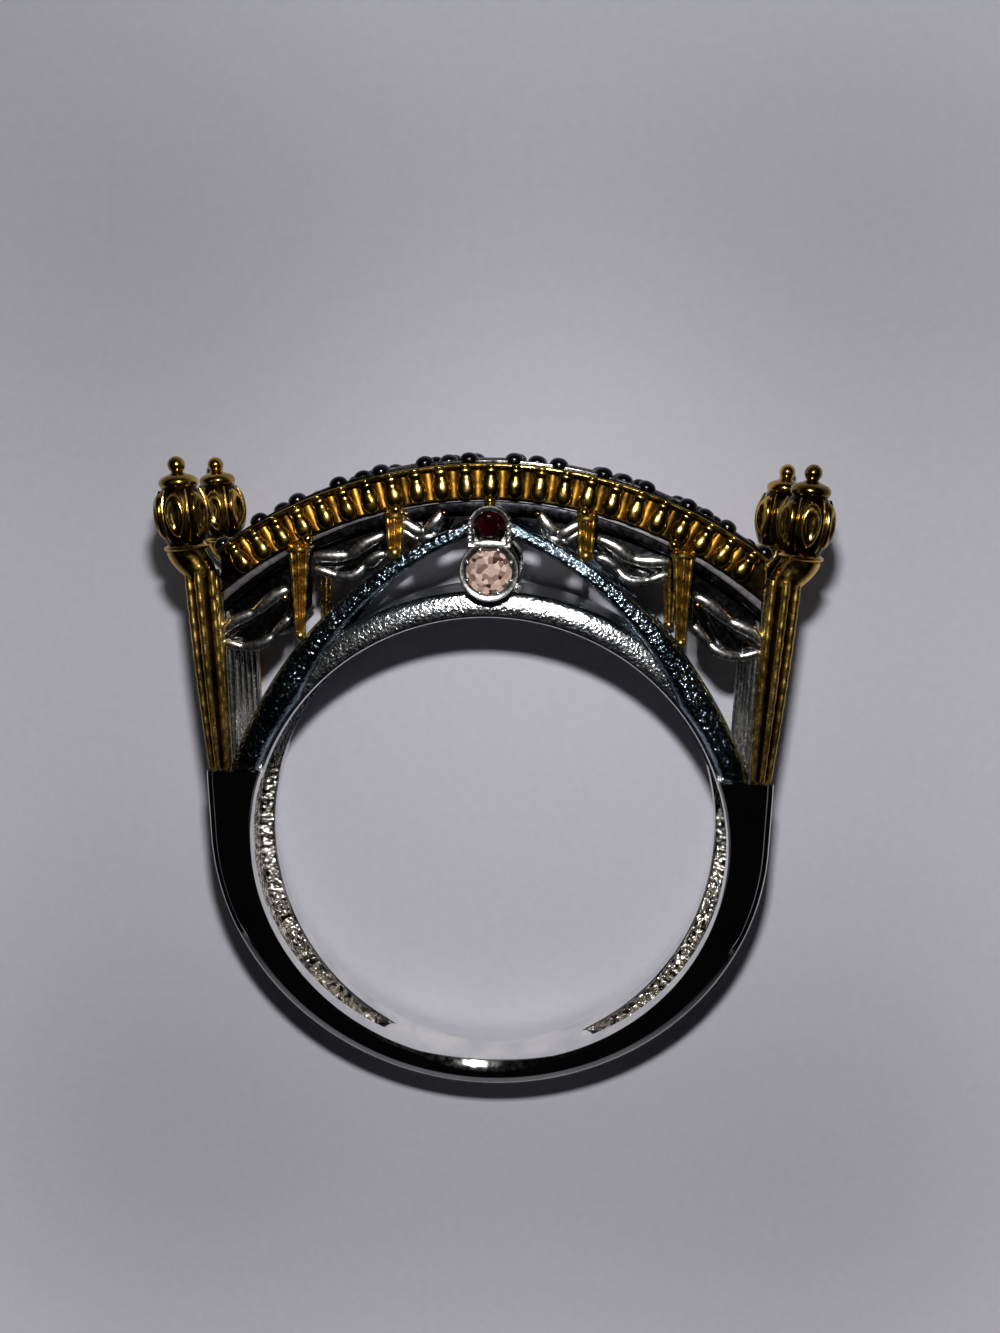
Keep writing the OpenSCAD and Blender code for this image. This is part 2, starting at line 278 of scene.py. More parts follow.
class Shape:
    """Points in millimetres and the faces between them."""

    def __init__(self):
        self.points = []
        self.faces = []

    def loft(self, rings, round_trip=False):
        """Skins a row of closed rings that have the same number of points, and closes both its ends."""
        start = len(self.points)
        count = len(rings[0])
        for ring in rings:
            self.points.extend(Vector(p) for p in ring)
        for i in range(len(rings) - (0 if round_trip else 1)):
            a = start + i * count
            b = start + (i + 1) % len(rings) * count
            for j in range(count):
                k = (j + 1) % count
                self.faces.append((a + j, a + k, b + k, b + j))
        if not round_trip:
            last = len(self.points) - count
            self.faces.append(tuple(range(start, start + count)))
            self.faces.append(tuple(range(last, last + count)))
        return self

    def lathe(self, outline, steps):
        """Turns (radius, height) points about Z."""
        rings = []
        for radius, height in outline:
            r = max(radius, AXIS_R)
            rings.append([(r * cos(a), r * sin(a), height) for a in turns(steps)])
        return self.loft(rings)

    def ball(self, radius, at=(0, 0, 0), squash=1.0):
        """A bead, turned from a half circle about its own Z and flattened along it."""
        rows = 10
        half = [(sin(pi * t), -cos(pi * t)) for t in shares(rows)]
        made = Shape().lathe([(radius * r, radius * squash * h) for r, h in half], 2 * rows)
        return self.join(made, Matrix.Translation(at))

    def tube(self, path, radii, steps, flat=1.0):
        """A round bar along a path, its depth along Z scaled by flat."""
        depth = Vector((0, 0, 1))
        rings = []
        for i, p in enumerate(path):
            before = Vector(path[max(i - 1, 0)])
            after = Vector(path[min(i + 1, len(path) - 1)])
            side = (after - before).cross(depth).normalized()
            spokes = [cos(a) * side + sin(a) * flat * depth for a in turns(steps)]
            rings.append([Vector(p) + radii[i] * spoke for spoke in spokes])
        return self.loft(rings)

    def join(self, other, matrix=None):
        """Adds another shape, moved by a matrix."""
        start = len(self.points)
        moved = other.points if matrix is None else [matrix @ p for p in other.points]
        self.points.extend(moved)
        self.faces.extend(tuple(i + start for i in face) for face in other.faces)
        return self

    def moved(self, matrix):
        """A copy moved by a matrix."""
        return Shape().join(self, matrix)

    def mirrored(self, axis):
        """A copy mirrored across the plane through the origin that stands on this axis."""
        scale = [1, 1, 1, 1]
        scale[axis] = -1
        return self.moved(Matrix.Diagonal(scale))

    def both(self, axis):
        """Adds the mirror image of everything so far."""
        return self.join(self.mirrored(axis))

    def mesh(self, name):
        """A mesh of this shape, in metres."""
        made = bpy.data.meshes.new(name)
        made.from_pydata([p * MM for p in self.points], [], self.faces)
        return made


def rounded(corners, radius, steps=3):
    """The closed outline through these 2D corners, each rounded by an arc."""
    outline = []
    for i, corner in enumerate(corners):
        here = Vector(corner)
        to_last = Vector(corners[i - 1]) - here
        to_next = Vector(corners[(i + 1) % len(corners)]) - here
        reach = min(radius, 0.45 * to_last.length, 0.45 * to_next.length)
        start = here + to_last.normalized() * reach
        end = here + to_next.normalized() * reach
        outline += [start.lerp(here, t).lerp(here.lerp(end, t), t) for t in shares(steps)]
    return outline


def smooth_row(points, steps):
    """A smooth row of points through these ones, with this many steps between two."""
    ends = [Vector(p) for p in (points[0], *points, points[-1])]
    row = []
    for a, b, c, d in zip(ends, ends[1:], ends[2:], ends[3:]):
        for j in range(steps):
            t = j / steps
            bend = (2 * a - 5 * b + 4 * c - d) * t * t + (3 * b - a - 3 * c + d) * t ** 3
            row.append(0.5 * (2 * b + (c - a) * t + bend))
    return row + [ends[-1]]


def straight_row(start, end, steps):
    """An even row of points from one point to another."""
    return [Vector(start).lerp(Vector(end), t) for t in shares(steps)]


def upright(at, direction):
    """Moves a turned shape so that its axis points along direction and its first side to the front."""
    front = Vector((0, 0, 1))
    axis = Vector(direction).normalized()
    side = (front - axis * axis.dot(front)).normalized()
    return axes_matrix(Vector(at), side, axis.cross(side), axis)


def on_deck(angle, radius, z=0.0):
    """The point of the bridge's arc at an angle from its middle, in degrees."""
    a = radians(angle)
    return Vector((radius * sin(a), DECK_Y + radius * cos(a), z))


def deck_axes(angle, radius, z=0.0):
    """Places a shape on the bridge: its X along the arc, its Y away from the arc's centre."""
    return Matrix.Translation(on_deck(angle, radius, z)) @ Matrix.Rotation(-radians(angle), 4, "Z")


def deck_foot(x):
    """Height of the balustrade's foot at a distance x from the middle."""
    return DECK_Y + sqrt(FOOT_R ** 2 - x * x)


def arch_top(x):
    """Height of the pointed arch's upper edge at a distance x from the middle."""
    return ARCH_Y + sqrt(ARCH_R ** 2 - (ARCH_X + abs(x)) ** 2)


def deck_bar(outline, end_x, steps=96):
    """A bar bent along the bridge: outline holds (radius, z) points, and its ends stand upright at end_x."""
    rings = []
    for t in shares(steps):
        ring = []
        for radius, z in outline:
            angle = asin(end_x / radius) * (2 * t - 1)
            ring.append((radius * sin(angle), DECK_Y + radius * cos(angle), z))
        rings.append(ring)
    return Shape().loft(rings)


def piece(name, shape, material, stands_for=(), bevel=0.0, crease=32):
    """Makes an object of a shape, finished with a material, that rides on the ring."""
    mesh = shape.mesh(name)
    work = bmesh.new()
    work.from_mesh(mesh)
    bmesh.ops.remove_doubles(work, verts=work.verts, dist=SAME_POINT * MM)
    bmesh.ops.dissolve_degenerate(work, edges=work.edges, dist=NO_EDGE * MM)
    bmesh.ops.recalc_face_normals(work, faces=work.faces)
    work.to_mesh(mesh)
    work.free()
    mesh.polygons.foreach_set("use_smooth", [True] * len(mesh.polygons))
    mesh.set_sharp_from_angle(angle=radians(crease))
    mesh.materials.append(material)
    made = add_object(name, mesh)
    if bevel:
        edge = made.modifiers.new("edge", "BEVEL")
        edge.width = bevel * MM
        edge.segments = 2
        edge.limit_method = "ANGLE"
        edge.angle_limit = radians(crease)
        edge.harden_normals = True
    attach(made, "root")
    if stands_for:
        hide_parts(*stands_for)


# Materials
def new_material(name):
    """An empty material, with its node tree and the shader that ends it."""
    material = bpy.data.materials.new(name)
    material.use_nodes = True
    tree = material.node_tree
    tree.nodes.clear()
    shader = node(tree, "ShaderNodeBsdfPrincipled")
    node(tree, "ShaderNodeOutputMaterial", links={"Surface": shader.outputs["BSDF"]})
    return material, tree, shader


# Wiping marks and dents are finer on the real metals than the render shows, so they are drawn coarser
def metal(name, bright, dull, smooth, worn, dent_depth_mm, dent_mm=0.3, wipe_mm=0.2, cloud_mm=1.4):
    """A metal's skin: two tones in soft clouds, wiping marks in its gloss from smooth to worn, and dents."""
    material, tree, shader = new_material(name)
    place = node(tree, "ShaderNodeTexCoord").outputs["Object"]
    clouds = node(tree, "ShaderNodeTexNoise", {"Scale": grains(cloud_mm), "Detail": 3.0}, {"Vector": place})
    share = node(tree, "ShaderNodeMapRange", {"From Min": 0.38, "From Max": 0.62},
                 {"Value": clouds.outputs["Fac"]})
    tone = node(tree, "ShaderNodeMix", {MIX_FIRST: srgb(bright), MIX_SECOND: srgb(dull)},
                {MIX_SHARE: share.outputs["Result"]}, data_type="RGBA")
    wipes = node(tree, "ShaderNodeTexNoise", {"Scale": grains(wipe_mm), "Detail": 5.0}, {"Vector": place})
    gloss = node(tree, "ShaderNodeMapRange",
                 {"From Min": 0.3, "From Max": 0.7, "To Min": smooth, "To Max": worn},
                 {"Value": wipes.outputs["Fac"]})
    dents = node(tree, "ShaderNodeTexNoise", {"Scale": grains(dent_mm), "Detail": 2.0}, {"Vector": place})
    bump = node(tree, "ShaderNodeBump", {"Strength": 1.0, "Distance": dent_depth_mm * MM},
                {"Height": dents.outputs["Fac"]})
    shader.inputs["Metallic"].default_value = 1.0
    tree.links.new(tone.outputs[MIX_COLOUR], shader.inputs["Base Color"])
    tree.links.new(gloss.outputs["Result"], shader.inputs["Roughness"])
    tree.links.new(bump.outputs["Normal"], shader.inputs["Normal"])
    return material


def gem(name, bright, deep, ior, clear, facet_mm):
    """A cut stone, with bright and dark patches of this size painted in as the light and shade of its inner
    facets seen through the crown.
    """
    material, tree, shader = new_material(name)
    place = node(tree, "ShaderNodeTexCoord").outputs["Object"]
    facet_light_and_shade = node(tree, "ShaderNodeTexVoronoi", {"Scale": grains(facet_mm), "Randomness": 0.8},
                  {"Vector": place})
    parts = node(tree, "ShaderNodeSeparateColor", links={"Color": facet_light_and_shade.outputs["Color"]})
    lit = node(tree, "ShaderNodeMapRange", {"From Min": 0.05, "From Max": 0.75},
               {"Value": parts.outputs["Red"]})
    tone = node(tree, "ShaderNodeMix", {MIX_FIRST: srgb(deep), MIX_SECOND: srgb(bright)},
                {MIX_SHARE: lit.outputs["Result"]}, data_type="RGBA")
    tree.links.new(tone.outputs[MIX_COLOUR], shader.inputs["Base Color"])
    shader.inputs["Transmission Weight"].default_value = clear
    shader.inputs["IOR"].default_value = ior
    shader.inputs["Roughness"].default_value = 0.01
    return material


# Sterling silver, cast and mirror polished: a near-white mirror whose edges catch the light
SILVER = metal("polished_sterling_silver", "#f2f0ec", "#dcdcdc", smooth=0.04, worn=0.1,
               dent_depth_mm=0.0015, dent_mm=0.5, wipe_mm=0.25)
# Sterling silver with a satin finish on the fascia: it spreads the light into an even grey
SATIN_SILVER = metal("satin_sterling_silver", "#8f8a8c", "#6c686a", smooth=0.34, worn=0.5,
                     dent_depth_mm=0.004, dent_mm=0.2, wipe_mm=0.15)
# Sterling silver, cast and tumbled, on the small relief: its highlights are broad and soft
TUMBLED_SILVER = metal("tumbled_sterling_silver", "#f2f0ec", "#c4c0bc", smooth=0.2, worn=0.3,
                       dent_depth_mm=0.012, wipe_mm=0.15)
# Sterling silver, brushed by hand, on the round arch: a wide white highlight that frays into grains
BRUSHED_SILVER = metal("brushed_sterling_silver", "#eef0f2", "#d0d2d4", smooth=0.14, worn=0.26,
                       dent_depth_mm=0.027, dent_mm=0.11, wipe_mm=0.12)
# Sterling silver left as cast inside the channel: it breaks the light into bright and black grains
CAST_SILVER = metal("as_cast_sterling_silver", "#fff8ec", "#0c0b0a", smooth=0.08, worn=0.24,
                    dent_depth_mm=0.09, dent_mm=0.16, wipe_mm=0.1, cloud_mm=0.22)
# Rhodium over silver on the pointed arches, darkened as a painted reflection of the dark room: a blue-black
# mirror whose finely hammered skin throws specks
RHODIUM_PAINTED_DARK = metal("rhodium_silver_painted_dark", "#8a9aa6", "#46545e", smooth=0.09, worn=0.18,
                dent_depth_mm=0.055, dent_mm=0.12, wipe_mm=0.15)
# Silver darkened to grey on the drapery's web, as painted shade under its rolls, and on the deck's edge
# wires: a grey mirror with darker patches at random
DARKENED_SILVER_AND_SHADE = metal("darkened_silver_and_painted_shade", "#8a898c", "#48484c", smooth=0.1, worn=0.2,
                    dent_depth_mm=0.01)
# Gold plate over cast silver: a soft olive mirror that lights up amber along its crests
GOLD = metal("cast_gold_plate", "#e0b65c", "#8e7432", smooth=0.1, worn=0.25,
             dent_depth_mm=0.018, dent_mm=0.35, wipe_mm=0.25)
# Gold plate over cast silver, tumbled, on the reeded columns and posts: soft olive lines with brighter dots
TUMBLED_GOLD = metal("tumbled_gold_plate", "#f0c468", "#b49444", smooth=0.22, worn=0.34,
                     dent_depth_mm=0.02)
# Rough gold plate on the strips between the balusters, painted light for the lit part of the wall whose rest
# is painted shade: amber all over, without a highlight
GOLD_PAINTED_LIGHT = metal("rough_gold_plate_painted_light", "#b88630", "#503810", smooth=0.36, worn=0.5,
                   dent_depth_mm=0.02, cloud_mm=0.7)
# Gold plate painted nearly black as the shade behind the balusters, between the reeds and behind the
# lanterns' panels
GOLD_PAINTED_SHADE = metal("gold_plate_painted_shade", "#33260f", "#120c04", smooth=0.25, worn=0.4,
                   dent_depth_mm=0.01)
# Dark silver on the deck, which also paints the shade on the recessed plates behind the swags: a dark, soft
# mirror
DARK_SILVER_AND_SHADE = metal("dark_silver_and_painted_shade", "#4c4c50", "#2a2a2e", smooth=0.14, worn=0.28,
                    dent_depth_mm=0.006)
# Garnet, faceted and polished: dark wine red that lights up deep red from within, with patches of painted
# light and shade for its facets
GARNET = gem("faceted_garnet", "#4a0410", "#0a0002", ior=1.76, clear=0.7, facet_mm=0.42)
# Pale pink beryl, faceted and polished: peach patches of painted facet light between brown patches of painted
# shade
PINK_BERYL = gem("faceted_pink_beryl", "#ffddcc", "#48221a", ior=1.58, clear=0.25, facet_mm=0.19)


# Shank
def face_half(y):
    """Half the shank's width at a height y: it tapers evenly from the shoulders to the foot."""
    foot_y = SHANK_RISE - SHANK_R
    share = min(1.0, (y - foot_y) / (BREAK_Y - foot_y))
    return FOOT_HALF + (FRAME_HALF - FOOT_HALF) * share


def band_stations():
    """Pairs of points on the band's inner and outer edges, from one shoulder round the foot to the other."""
    rise_steps = 8
    turn_steps = 144
    rise = [LEDGE_Y * i / rise_steps for i in range(rise_steps, 0, -1)]
    side = [((-sqrt(HOLE_R ** 2 - y * y), y), (-SHANK_R, y)) for y in rise]
    turn = []
    for i in range(turn_steps + 1):
        a = pi * (1 + i / turn_steps)
        dx, dy = cos(a), sin(a)
        reach = SHANK_RISE * dy + sqrt(SHANK_R ** 2 - (SHANK_RISE * dx) ** 2)
        turn.append(((HOLE_R * dx, HOLE_R * dy), (reach * dx, reach * dy)))
    other = [((-i[0], i[1]), (-o[0], o[1])) for i, o in reversed(side)]
    return side + turn + other


def channel_half(y):
    """Half the channel's width at a height y."""
    share = max(0.0, min(1.0, (y - CHANNEL_START_Y) / (CHANNEL_FULL_Y - CHANNEL_START_Y)))
    return CHANNEL_NOSE + (CHANNEL_HALF - CHANNEL_NOSE) * share ** 0.85


def channel_depth(y):
    """The channel's depth at a height y."""
    return CHANNEL_DEPTH * max(0.0, min(1.0, (y - CHANNEL_START_Y) / CHANNEL_RUN_IN))


def band():
    """The band: two ridges along its outer edge that merge below the kink, and a channel between two lips."""
    rings = []
    for inner, outer in band_stations():
        start = Vector(inner)
        across = Vector(outer) - start
        width = across.length
        across.normalize()
        merge = max(0.0, min(1.0, (KINK_Y - start.y) / RIDGE_MERGE_RUN))
        lip = LIP_SIZE
        if start.y < 0:
            lip += LIP_MORE_AT_FOOT * max(0.0, 1 - (start.x / LIP_FOOT_X) ** 2)
        edge = [(width - s - s_merged * merge, drop + drop_merged * merge)
                for s, s_merged, drop, drop_merged in RIDGES]
        edge += [(lip * s, lip * drop) for s, drop in LIP]
        front = []
        for s, drop in edge:
            p = start + across * s
            front.append((p.x, p.y, face_half(p.y) - drop))
        depth = channel_depth(start.y)
        half = channel_half(start.y)
        soft = min(0.05, depth / 2)
        brink = start + across * soft
        floor = start + across * depth
        front.append((start.x, start.y, half + soft + 0.01))
        front.append((brink.x, brink.y, half))
        front.append((floor.x, floor.y, half * CHANNEL_FLOOR_SHARE))
        rings.append(front + [(x, y, -z) for x, y, z in reversed(front)])
    return Shape().loft(rings)


def channel_lining():
    """The rough skin inside the channel, on the left of the foot."""
    skin = 0.012
    sunk = 0.02
    mouth = 0.08
    rings = []
    for inner, outer in band_stations():
        start = Vector(inner)
        if start.x > 0 or start.y < CHANNEL_START_Y + 0.3:
            continue
        across = (Vector(outer) - start).normalized()
        depth = channel_depth(start.y)
        half = channel_half(start.y)
        seen = [(mouth, half - skin), (depth - sunk, half * CHANNEL_FLOOR_SHARE - skin)]
        hidden = [(depth + 0.05, half + sunk), (mouth, half + sunk)]
        outline = seen + [(s, -z) for s, z in reversed(seen)]
        outline += [(s, -z) for s, z in reversed(hidden)] + hidden
        rings.append([(start.x + across.x * s, start.y + across.y * s, z) for s, z in outline])
    return Shape().loft(rings)


def inner_arch():
    """The round arch over the finger, with a soft outer edge and the same channel inside."""
    end_y = LEDGE_Y - 0.4
    soft = 0.12
    low = asin(end_y / HOLE_R)
    half = [(INNER_ARCH_T - s, INNER_ARCH_HALF - drop) for s, drop in INNER_ARCH_EDGE]
    half += [(soft, INNER_ARCH_HALF), (0.035, INNER_ARCH_HALF - 0.035), (0, INNER_ARCH_HALF - soft)]
    channel = [(0, 1.65), (0.42, 1.58)]
    half += channel
    section = half + [(s, -z) for s, z in reversed(half)]
    rings = []
    for t in shares(96):
        a = low + (pi - 2 * low) * t
        rings.append([((HOLE_R + s) * cos(a), (HOLE_R + s) * sin(a), z) for s, z in section])
    return Shape().loft(rings)


def pointed_arch():
    """The right half of the front pointed arch: a bar with a softly sloping face, narrower at its point."""
    low_y = LEDGE_Y - 0.03
    least_r = HOLE_R + 0.14
    top_start = asin((low_y - ARCH_Y) / ARCH_R)
    top_end = acos(ARCH_X / ARCH_R)
    low_start = asin((low_y - ARCH_LOW_Y) / ARCH_LOW_R)
    low_end = acos(ARCH_LOW_X / ARCH_LOW_R)
    rings = []
    for t in shares(48):
        a = top_start + (top_end - top_start) * t
        b = low_start + (low_end - low_start) * t
        upper = Vector((ARCH_R * cos(a) - ARCH_X, ARCH_Y + ARCH_R * sin(a)))
        lower = Vector((ARCH_LOW_R * cos(b) - ARCH_LOW_X, ARCH_LOW_Y + ARCH_LOW_R * sin(b)))
        if lower.length < least_r:
            lower = lower.normalized() * least_r
        width = (upper - lower).length
        section = []
        for share, drop in ARCH_FACE:
            p = lower.lerp(upper, share)
            section.append((p.x, p.y, FRAME_HALF - drop * width))
        section.append((upper.x, upper.y, ARCH_BACK_Z))
        section.append((lower.x, lower.y, ARCH_BACK_Z))
        rings.append(section)
    return Shape().loft(rings)


def end_wall():
    """The right end wall, leaning outwards, with upright reeds on both sides and round bars at its edges."""
    steps = 6
    reed_count = 5
    low_y = LEDGE_Y - 0.1
    high_y = deck_foot(BRIDGE_END_X) + 0.28
    low = [(x, low_y) for x in END_WALL_FOOT_X]
    high = [(x, high_y) for x in END_WALL_HEAD_X]
    made = Shape()
    outline = rounded([low[0], low[1], high[1], high[0]], 0.06, 2)
    made.loft([[(x, y, z) for x, y in outline] for z in (-END_WALL_HALF, END_WALL_HALF)])
    for i in range(reed_count):
        z = END_WALL_HALF * (2 * i / (reed_count - 1) - 1) * 0.88
        for foot, head in zip(low, high):
            widths = [0.16 + 0.03 * t for t in shares(steps)]
            made.tube(straight_row((*foot, z), (*head, z), steps), widths, 12)
    for z in (-END_WALL_HALF, END_WALL_HALF):
        bar = straight_row((9.24, LEDGE_Y, z), (9.4, high_y - 0.5, z), steps)
        made.tube(bar, [0.14] * len(bar), 14, flat=1.3)
    return made


def swag_rows(stations, steps=9):
    """The smooth upper and lower edges of a swag."""
    upper = smooth_row([(x, top) for x, top, low in stations], steps)
    lower = smooth_row([(x, low) for x, top, low in stations], steps)
    return list(zip(upper, lower))


def roll(edge, radius, lumps, depth):
    """A rolled edge of cloth along a row of points, pinched at its ends and lumpy between them."""
    path = []
    radii = []
    for i, p in enumerate(edge):
        t = i / (len(edge) - 1)
        swell = 0.72 + 0.28 * sin(pi * t)
        lump = abs(sin(pi * lumps * t + 0.6)) ** 0.6
        radii.append(radius * swell * (0.66 + 0.34 * lump))
        path.append((p.x, p.y + 0.03 * sin(tau * lumps * t), depth + 0.05 * lump))
    return Shape().tube(path, radii, 16, flat=0.65)


def swag(stations):
    """The slanting folds of cloth inside one festoon."""
    back = CLOTH_Z - 0.2
    rows = swag_rows(stations)
    rings = []
    for i, (upper, lower) in enumerate(rows):
        t = i / (len(rows) - 1)
        section = []
        for u in shares(24):
            p = upper.lerp(lower, u)
            fold = abs(sin(pi * (3 * t + 1.4 * u))) ** 0.7
            section.append((p.x, p.y, CLOTH_Z + 0.1 * fold * sin(pi * u)))
        rings.append([(upper.x, upper.y, back)] + section + [(lower.x, lower.y, back)])
    return Shape().loft(rings)


def swag_rolls(stations):
    """The thick rolled edge above a festoon and the thinner hem below it."""
    rows = swag_rows(stations)
    edge = roll([upper for upper, lower in rows], radius=0.25, lumps=1.8, depth=2.1)
    hem = roll([lower for upper, lower in rows], radius=0.19, lumps=2.6, depth=2.04)
    return edge.join(hem)


def spandrel(stations):
    """The recessed plate behind a swag, from the bridge's floor down to the swag's lower edge, dark with
    painted shade.
    """
    back = 1.5
    rings = []
    for upper, lower in swag_rows(stations):
        x = upper.x
        high = deck_foot(x) - 0.1
        low = lower.y + 0.06
        rings.append([(x, high, SPANDREL_Z), (x, low, SPANDREL_Z), (x, low, back), (x, high, back)])
    return Shape().loft(rings)


def in_each_bay(make):
    """What a function makes for each swag of the right half, and its mirror image."""
    made = Shape()
    for stations in SWAGS:
        made.join(make(stations))
    return made.both(0)


def bridge_floor():
    """The silver slab under the deck, with a soft lower edge."""
    low = FOOT_R - FLOOR_T
    face = [(low, FLOOR_HALF - 0.2), (low + 0.14, FLOOR_HALF), (FOOT_R, FLOOR_HALF)]
    outline = [(r, -z) for r, z in face] + [(r, z) for r, z in reversed(face)]
    return deck_bar(rounded(outline, 0.04, 2), BRIDGE_END_X)


def fascia():
    """The front edge board under the gallery, deeper towards its ends, with a bead along its lower edge."""
    front = FLOOR_HALF + 0.09
    back = FLOOR_HALF - 0.05
    bead_r = 0.035
    bead = []
    rings = []
    for t in shares(72):
        x = (BRIDGE_END_X - 0.05) * (2 * t - 1)
        high = deck_foot(x) - 0.02
        low = deck_foot(x) - 0.06 - 0.26 * (x / BRIDGE_END_X) ** 2
        rings.append([(x, high, back), (x, high, front), (x, low, front), (x, low, back)])
        bead.append((x, low, front - 0.01))
    return Shape().loft(rings).tube(bead, [bead_r] * len(bead), 10)


# Niche rim's face: share of the way inwards and drop from its front
RIM_FACE = ((0.16, 0), (0.28, 0), (0.52, 0.012), (0.8, 0.033), (1.0, 0.07))


def ring_wall(outer, inner):
    """A niche's closed rim between two outlines with the same number of points, its face sloping inwards."""
    rings = [[(*p, NICHE_BACK_Z) for p in outer], [(*p, NICHE_Z - 0.05) for p in outer]]
    for share, drop in RIM_FACE:
        rings.append([(*o.lerp(i, share), NICHE_Z - drop) for o, i in zip(outer, inner)])
    rings.append([(*p, NICHE_BACK_Z) for p in inner])
    return Shape().loft([[ring[k] for ring in rings] for k in range(len(outer))], round_trip=True)


def round_outline(centre_y, radius):
    """A circle round a point on the ring's middle line."""
    return [Vector((0, centre_y)) + radius * Vector((cos(a), sin(a))) for a in turns(56)]


def arched_outline(radius, low):
    """A round-topped outline about the upper niche, down to a height."""
    angles = [pi * t for t in shares(20)]
    top = [Vector((radius * cos(a), NICHE_Y + radius * sin(a))) for a in angles]
    return top + [Vector((-radius, low)), Vector((radius, low))]


def niche_frame():
    """The round bezel, the round-topped frame above it, the ledge between them and their beads."""
    low_y = BEZEL_Y + 0.82
    made = ring_wall(round_outline(BEZEL_Y, BEZEL_R), round_outline(BEZEL_Y, BEZEL_R - BEZEL_T))
    made.join(ring_wall(arched_outline(NICHE_R, low_y), arched_outline(NICHE_R - NICHE_T, low_y + 0.12)))
    for y, r in ((BEZEL_Y, BEZEL_R - 0.1), (NICHE_Y - 0.15, NICHE_R - 0.05)):
        made.loft([[(*p, z) for p in round_outline(y, r)] for z in (NICHE_BACK_Z, NICHE_SEAT_Z)])
    ledge = [(0.54 * (2 * t - 1), low_y + 0.1, NICHE_Z - 0.03) for t in shares(8)]
    made.tube(ledge, [0.08 + 0.09 * sin(pi * t) for t in shares(8)], 18, flat=0.3)
    for i in range(4):
        for side in (-1, 1):
            made.ball(0.1, (side * (NICHE_R - 0.1), low_y + 0.24 * (i + 1), NICHE_Z - 0.01))
    beads = 8
    circle_r = 0.8
    for a in turns(beads):
        a += pi / beads
        made.ball(0.085, (circle_r * cos(a), BEZEL_Y + circle_r * sin(a), NICHE_Z - 0.06))
    return made


def silver_pieces():
    """Everything that is cast with the shank."""
    piece("shank_band", band(), SILVER, ["shank"], crease=14)
    piece("channel_lining", channel_lining().both(0), CAST_SILVER, crease=40)
    piece("inner_arch", inner_arch(), BRUSHED_SILVER, crease=40)
    front = pointed_arch().both(0)
    piece("pointed_arch_front", front, RHODIUM_PAINTED_DARK, bevel=0.02, crease=60)
    piece("pointed_arch_back", front.mirrored(2), RHODIUM_PAINTED_DARK, bevel=0.02, crease=60)
    piece("end_walls", end_wall().both(0), TUMBLED_SILVER, crease=40)
    piece("bridge_floor", bridge_floor(), DARK_SILVER_AND_SHADE)
    drapery = in_each_bay(swag)
    rolls = in_each_bay(swag_rolls)
    plates = in_each_bay(spandrel)
    niche = niche_frame()
    board = fascia()
    for face, side in FACES:
        turned = Matrix.Diagonal((1, 1, side, 1))
        # The drapery's web is painted darker as the shade under its lit silver rolls
        piece("swags_" + face, drapery.moved(turned), DARKENED_SILVER_AND_SHADE, crease=60)
        piece("swag_rolls_" + face, rolls.moved(turned), TUMBLED_SILVER, crease=60)
        piece("spandrels_" + face, plates.moved(turned), DARK_SILVER_AND_SHADE, bevel=0.02)
        piece("fascia_" + face, board.moved(turned), SATIN_SILVER, crease=40)
        piece("niche_frame_" + face, niche.moved(turned), TUMBLED_SILVER, crease=50)


# Galleries
def baluster():
    """One turned vase, from the foot strip up to the rail."""
    height = RAIL_R - RAIL_T + BALUSTER_IN_RAIL - (FOOT_R + FOOT_T - BALUSTER_IN_FOOT)
    return Shape().lathe([(BALUSTER_R * r, height * h) for r, h in BALUSTER_OUTLINE], 20)


def column(x, top_r, foot_r):
    """Three rippled reeds from the bridge down to the pointed arch, under a collar and round a thin core."""
    head_y = deck_foot(x) + 0.05
    foot_y = arch_top(x - foot_r * 0.5) - 0.02
    tall = head_y - foot_y
    ripple = 0.55
    made = Shape()
    for across, forward in ((-1, 0.25), (1, 0.25), (0, 0.5)):
        path = []
        radii = []
        for t in shares(30):
            r = foot_r + (top_r - foot_r) * t ** 1.4
            path.append((x + across * r * 0.68, foot_y + tall * t, COLUMN_Z + forward * r))
            radii.append(0.27 * r * (1 + 0.14 * sin(tau * tall / ripple * t + across)))
        made.tube(path, radii, 12)
    core = [(0, 0), (foot_r * 0.45, 0), (top_r * 0.45, tall), (0, tall)]
    up = (0, 1, 0)
    made.join(Shape().lathe(core, 16), upright((x, foot_y, COLUMN_Z), up))
    collar = [(top_r * r, height) for r, height in COLLAR]
    made.join(Shape().lathe(collar, 24), upright((x, head_y - 0.28, COLUMN_Z), up))
    return made.ball(foot_r * 0.95, (x, foot_y + 0.12, COLUMN_Z + 0.05))


def gallery_wall():
    """The thin wall behind the front balusters and the foot strip that they stand on, painted nearly black as
    their shade.
    """
    top = RAIL_R - RAIL_T + 0.02
    low = FOOT_R + FOOT_T
    front = WALL_Z + 0.24
    outline = [(FOOT_R, WALL_Z), (top, WALL_Z), (top, WALL_Z + 0.12), (low, WALL_Z + 0.04), (low, front),
               (FOOT_R, front)]
    return deck_bar(rounded(outline, 0.02), BRIDGE_END_X, 120)


def gallery_strips():
    """The upright strips on the front wall, one in each gap between two balusters, in amber gold as painted
    light on the wall there.
    """
    half = 0.14
    front = WALL_Z + 0.14
    shoulder = front - 0.05
    section = [(-half, WALL_Z), (-half, shoulder), (-half / 2, front), (half / 2, front), (half, shoulder),
               (half, WALL_Z)]
    made = Shape()
    for i in range(-BALUSTERS_A_SIDE, BALUSTERS_A_SIDE):
        strip = Shape().loft([[(x, r, z) for x, z in section] for r in (FOOT_R + FOOT_T, RAIL_R - RAIL_T)])
        made.join(strip, deck_axes((i + 0.46) * BALUSTER_STEP, 0))
    return made


